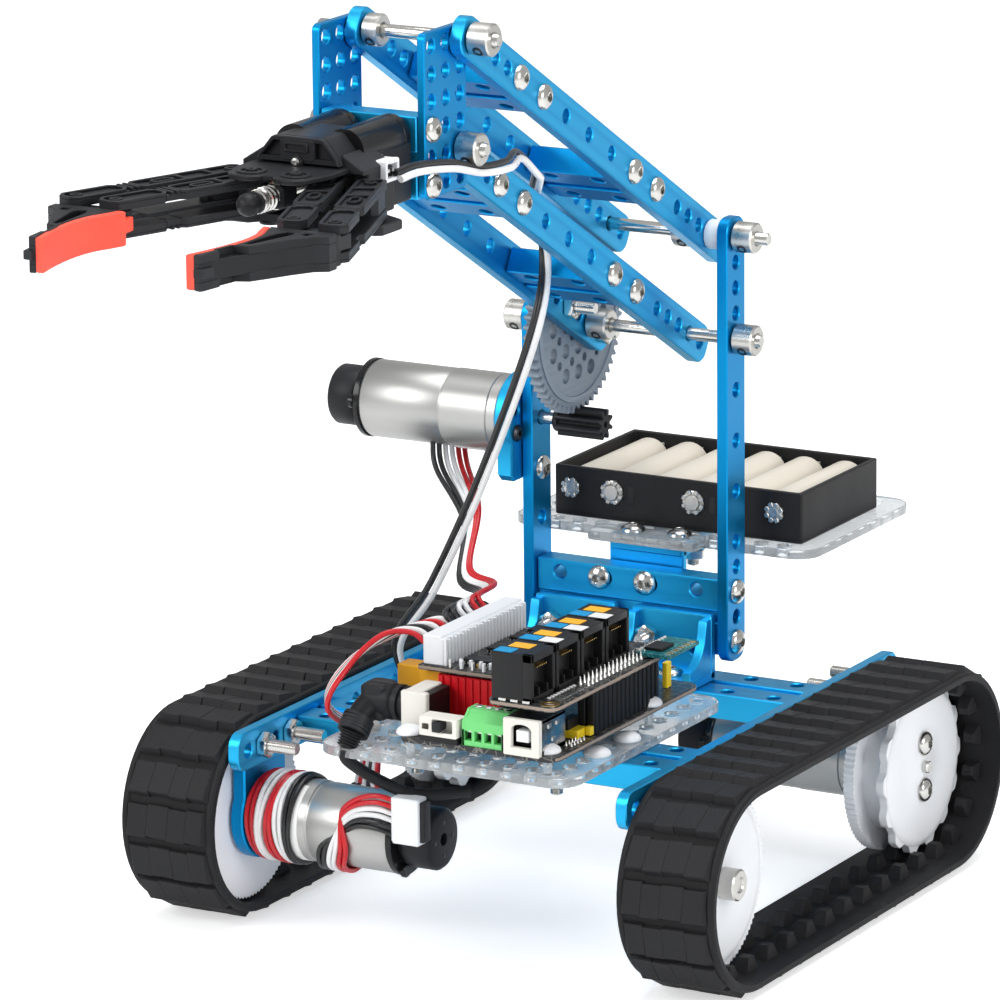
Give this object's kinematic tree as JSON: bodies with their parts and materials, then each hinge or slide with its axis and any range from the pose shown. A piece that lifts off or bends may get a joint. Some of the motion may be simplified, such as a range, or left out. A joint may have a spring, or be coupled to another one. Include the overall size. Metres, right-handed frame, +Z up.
{
  "type": "tracked robot arm",
  "caption": "Tracked construction-kit robot with a gear-driven parallelogram arm, a parallel-jaw gripper, a controller board and a battery tray.",
  "frame": {"origin": "on the ground under the middle of the robot's footprint", "axes": "+Z up, -Y forward (the gripper points that way), +X to the side that carries the tall upright"},
  "size_m": [0.206, 0.382, 0.2915],
  "materials": {
    "blue_anodised": "Anodised aluminium extrusion, satin bright blue, bead blasted",
    "bright_steel": "Nickel plated and plain steel: motor cans, rods, collars and fasteners",
    "track_rubber": "Moulded black rubber with a dull sheen",
    "white_nylon": "Moulded white nylon, slightly translucent",
    "black_nylon": "Moulded black nylon, satin",
    "grey_nylon": "Moulded blue-grey nylon",
    "clear_acrylic": "Laser cut clear acrylic with frosted edges",
    "circuit_board": "Circuit board with black solder mask and its connectors",
    "cell_sleeve": "Cream plastic sleeve of a dry cell"
  },
  "bodies": {
    "root": {"rail_left": "blue_anodised", "rail_right": "blue_anodised", "front_cross_beam": "blue_anodised", "rear_cross_beam": "blue_anodised", "motor_bracket_left": "blue_anodised", "motor_bracket_right": "blue_anodised", "idler_bracket_left": "blue_anodised", "idler_bracket_right": "blue_anodised", "drive_motor_left": "bright_steel", "drive_motor_right": "bright_steel", "track_left": "track_rubber", "track_right": "track_rubber", "upright_left": "blue_anodised", "upright_right": "blue_anodised", "tower_beam": "blue_anodised", "foot_bracket_left": "blue_anodised", "foot_bracket_right": "blue_anodised", "arm_motor": "bright_steel", "arm_motor_bracket": "blue_anodised", "lower_pivot_rod": "bright_steel", "upper_pivot_rod": "bright_steel", "battery_tray": "clear_acrylic", "battery_holder": "black_nylon", "battery_cell_1": "cell_sleeve", "battery_cell_2": "cell_sleeve", "battery_cell_3": "cell_sleeve", "battery_cell_4": "cell_sleeve", "battery_cell_5": "cell_sleeve", "battery_cell_6": "cell_sleeve", "controller_tray": "clear_acrylic", "controller_board": "circuit_board", "driver_board": "circuit_board"},
    "front_left_wheel": {"front_pulley_left": "white_nylon"},
    "rear_left_wheel": {"rear_pulley_left": "white_nylon"},
    "front_right_wheel": {"front_pulley_right": "white_nylon"},
    "rear_right_wheel": {"rear_pulley_right": "white_nylon"},
    "pinion": {"arm_pinion": "black_nylon"},
    "lower_arm": {"lower_bar_left": "blue_anodised", "lower_bar_right": "blue_anodised", "lower_cross_beam_front": "blue_anodised", "lower_cross_beam_rear": "blue_anodised", "arm_gear": "grey_nylon"},
    "upper_arm": {"upper_bar_left": "blue_anodised", "upper_bar_right": "blue_anodised", "upper_cross_beam_front": "blue_anodised", "upper_cross_beam_rear": "blue_anodised"},
    "gripper_base": {"bracket_plate_left": "blue_anodised", "bracket_plate_right": "blue_anodised", "bracket_cross_beam": "blue_anodised", "gripper_housing": "black_nylon"},
    "screw": {"gripper_screw": "bright_steel"},
    "nut": {"gripper_nut": "black_nylon"},
    "inner_link_l": {"inner_link_left": "black_nylon"},
    "outer_link_l": {"outer_link_left": "black_nylon"},
    "jaw_left": {"finger_left": "black_nylon"},
    "inner_link_r": {"inner_link_right": "black_nylon"},
    "outer_link_r": {"outer_link_right": "black_nylon"},
    "jaw_right": {"finger_right": "black_nylon"},
    "power_switch": {"power_switch_knob": "black_nylon"}
  },
  "joints": [
    {"name": "front_left_wheel_spin", "type": "hinge", "parent": "root", "child": "front_left_wheel", "pos_m": [-0.078, 0, 0.033], "axis": [1, 0, 0], "continuous": true},
    {"name": "rear_left_wheel_spin", "type": "hinge", "parent": "root", "child": "rear_left_wheel", "pos_m": [-0.078, 0.136, 0.033], "axis": [1, 0, 0], "continuous": true},
    {"name": "front_right_wheel_spin", "type": "hinge", "parent": "root", "child": "front_right_wheel", "pos_m": [0.082, 0, 0.033], "axis": [1, 0, 0], "continuous": true},
    {"name": "rear_right_wheel_spin", "type": "hinge", "parent": "root", "child": "rear_right_wheel", "pos_m": [0.082, 0.136, 0.033], "axis": [1, 0, 0], "continuous": true},
    {"name": "arm_lift", "type": "hinge", "parent": "root", "child": "lower_arm", "pos_m": [0.002, 0.11, 0.169], "axis": [1, 0, 0], "range_deg": [-25, 35]},
    {"name": "upper_arm_lift", "type": "hinge", "parent": "root", "child": "upper_arm", "pos_m": [0.002, 0.11, 0.201], "axis": [1, 0, 0], "range_deg": [-25, 35]},
    {"name": "gripper_level", "type": "hinge", "parent": "lower_arm", "child": "gripper_base", "pos_m": [0.0061, -0.03549, 0.253], "axis": [1, 0, 0], "range_deg": [-35, 25]},
    {"name": "pinion_spin", "type": "hinge", "parent": "root", "child": "pinion", "pos_m": [-0.018, 0.11, 0.137], "axis": [1, 0, 0], "range_deg": [-245, 175]},
    {"name": "grip_open", "type": "hinge", "parent": "gripper_base", "child": "outer_link_r", "pos_m": [0.0288, -0.0935, 0.2432], "axis": [0, 0, 1], "range_deg": [-23, 12]},
    {"name": "inner_right_swing", "type": "hinge", "parent": "gripper_base", "child": "inner_link_r", "pos_m": [0.0158, -0.0935, 0.2432], "axis": [0, 0, 1], "range_deg": [-23, 12]},
    {"name": "outer_left_swing", "type": "hinge", "parent": "gripper_base", "child": "outer_link_l", "pos_m": [-0.0166, -0.0935, 0.2432], "axis": [0, 0, 1], "range_deg": [-12, 23]},
    {"name": "inner_left_swing", "type": "hinge", "parent": "gripper_base", "child": "inner_link_l", "pos_m": [-0.0036, -0.0935, 0.2432], "axis": [0, 0, 1], "range_deg": [-12, 23]},
    {"name": "right_jaw_level", "type": "hinge", "parent": "outer_link_r", "child": "jaw_right", "pos_m": [0.04762, -0.14465, 0.2432], "axis": [0, 0, 1], "range_deg": [-12, 23]},
    {"name": "left_jaw_level", "type": "hinge", "parent": "outer_link_l", "child": "jaw_left", "pos_m": [-0.03542, -0.14465, 0.2432], "axis": [0, 0, 1], "range_deg": [-23, 12]},
    {"name": "nut_travel", "type": "slide", "parent": "gripper_base", "child": "nut", "axis": [0, 1, 0], "range_m": [-0.0033, 0.0017]},
    {"name": "screw_spin", "type": "hinge", "parent": "gripper_base", "child": "screw", "pos_m": [0.0061, -0.083, 0.2505], "axis": [0, 1, 0], "range_deg": [-772, 404]},
    {"name": "power_switch_slide", "type": "slide", "parent": "root", "child": "power_switch", "axis": [1, 0, 0], "range_m": [0, 0.003]}
  ],
  "couplings": [
    {"joint": "rear_left_wheel_spin", "follows": "front_left_wheel_spin", "ratio": 1},
    {"joint": "front_right_wheel_spin", "follows": "rear_right_wheel_spin", "ratio": 1},
    {"joint": "upper_arm_lift", "follows": "arm_lift", "ratio": 1},
    {"joint": "gripper_level", "follows": "arm_lift", "ratio": -1},
    {"joint": "pinion_spin", "follows": "arm_lift", "ratio": -7},
    {"joint": "inner_right_swing", "follows": "grip_open", "ratio": 1},
    {"joint": "outer_left_swing", "follows": "grip_open", "ratio": -1},
    {"joint": "inner_left_swing", "follows": "grip_open", "ratio": -1},
    {"joint": "right_jaw_level", "follows": "grip_open", "ratio": -1},
    {"joint": "left_jaw_level", "follows": "grip_open", "ratio": 1},
    {"joint": "nut_travel", "follows": "grip_open", "m_per_rad": 0.008},
    {"joint": "screw_spin", "follows": "grip_open", "ratio": 33.51}
  ]
}
